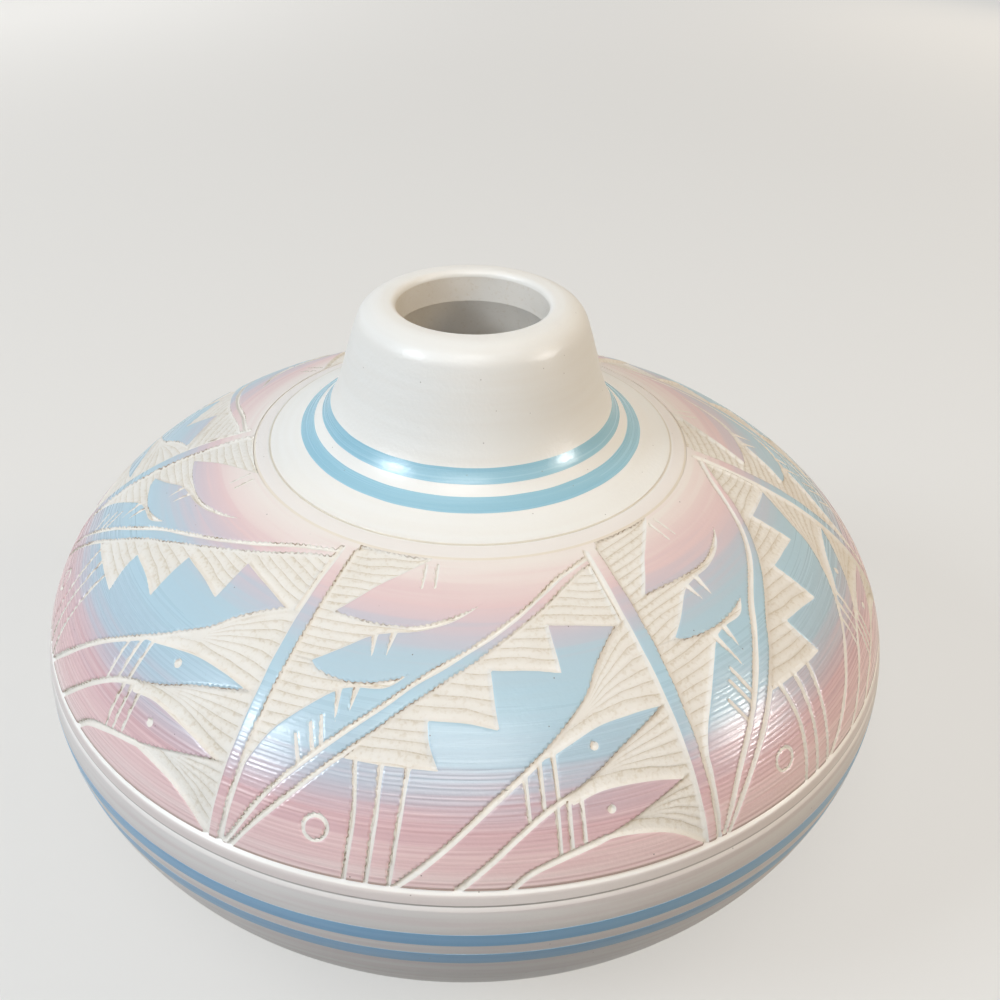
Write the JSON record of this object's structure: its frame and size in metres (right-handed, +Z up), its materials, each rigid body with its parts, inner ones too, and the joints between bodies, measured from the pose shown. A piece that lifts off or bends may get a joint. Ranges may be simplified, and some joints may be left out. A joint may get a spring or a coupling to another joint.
{
  "type": "pottery vase",
  "caption": "Squat round pottery vase with a short conical neck, painted rings and a shoulder coated in graded pink and blue, carved through to the clay.",
  "frame": {"origin": "centre of the flat foot, on the surface that the vase stands on", "axes": "+Z up along the vase's axis; the vase is turned about it, and -Y faces the picture's camera"},
  "size_m": [0.156, 0.156, 0.1165],
  "materials": {
    "clay": "matte, bare fired clay",
    "white_slip": "satin white slip",
    "pink_slip": "satin pink slip",
    "blue_slip": "satin blue slip",
    "blue_paint": "satin blue paint"
  },
  "bodies": {
    "root": {"base": "clay", "lower_bowl": "clay", "shoulder": "clay", "neck": "clay", "neck_slip": "white_slip", "neck_band_upper": "blue_paint", "neck_band_lower": "blue_paint", "upper_pink_coat": "pink_slip", "blue_coat": "blue_slip", "lower_pink_coat": "pink_slip", "belly_slip": "white_slip", "belly_band_upper": "blue_paint", "belly_band_lower": "blue_paint"}
  },
  "joints": []
}
